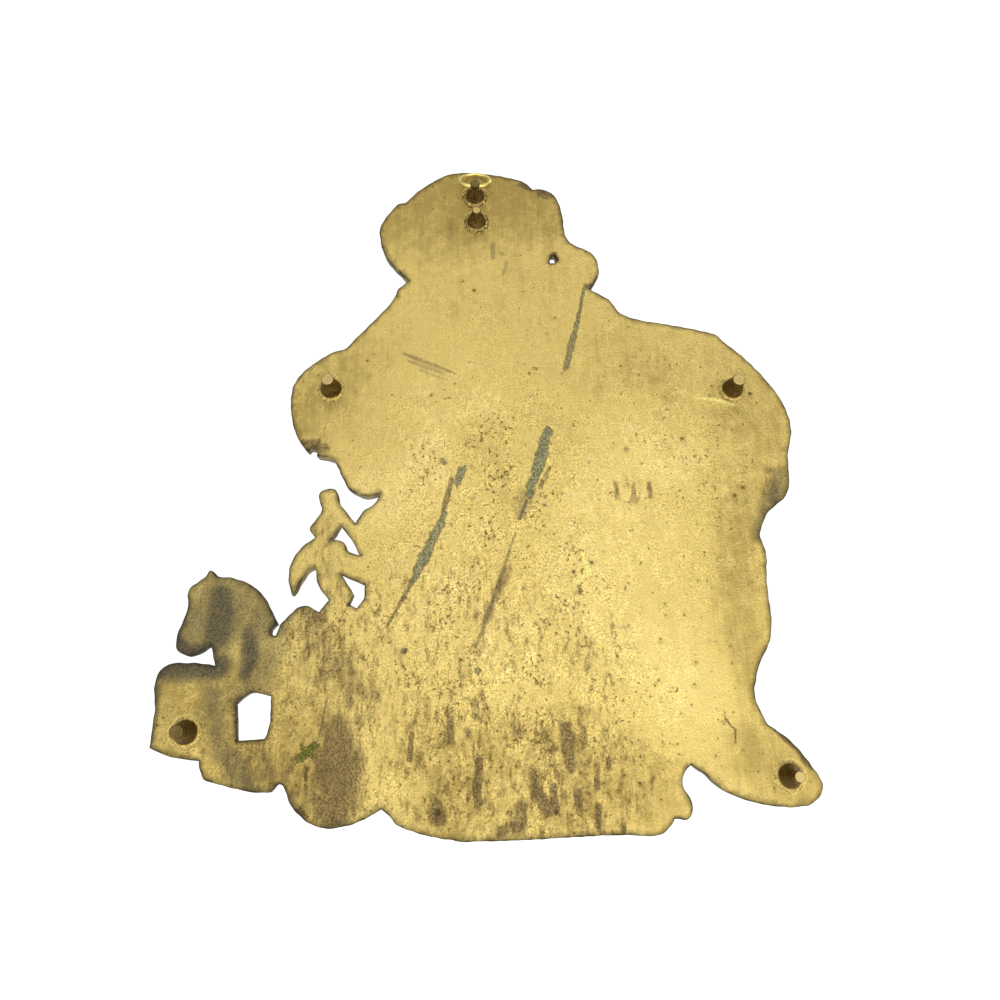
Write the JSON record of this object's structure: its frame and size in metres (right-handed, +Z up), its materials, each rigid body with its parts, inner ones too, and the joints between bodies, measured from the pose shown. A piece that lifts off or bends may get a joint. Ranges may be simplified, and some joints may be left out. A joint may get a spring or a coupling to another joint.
{
  "type": "decorative wall plaque",
  "caption": "Cast brass wall plaque in the outline of a kneeling gift-bringer with a sack and toys, flat at the back, with pegs that space it off the wall and a wire hanging ring.",
  "frame": {"origin": "inside the top of the hanging ring, where a nail bears", "axes": "+Z up as it hangs, relief front towards -Y, back and pegs towards +Y and the wall, +X to the right seen from the front"},
  "size_m": [0.1874, 0.0146, 0.2154],
  "materials": {
    "cast_brass": "sand-cast back, ground and dulled, with brown and green patina",
    "ring_brass": "drawn wire, bright"
  },
  "bodies": {
    "casting": {"plaque_casting": "cast_brass"},
    "ring": {"hanging_ring": "ring_brass"}
  },
  "joints": [
    {"name": "ring_swing", "type": "hinge", "parent": "casting", "child": "ring", "pos_m": [0, 0.00437, -0.00863], "axis": [-1, 0, 0], "range_deg": [0, 196]}
  ]
}
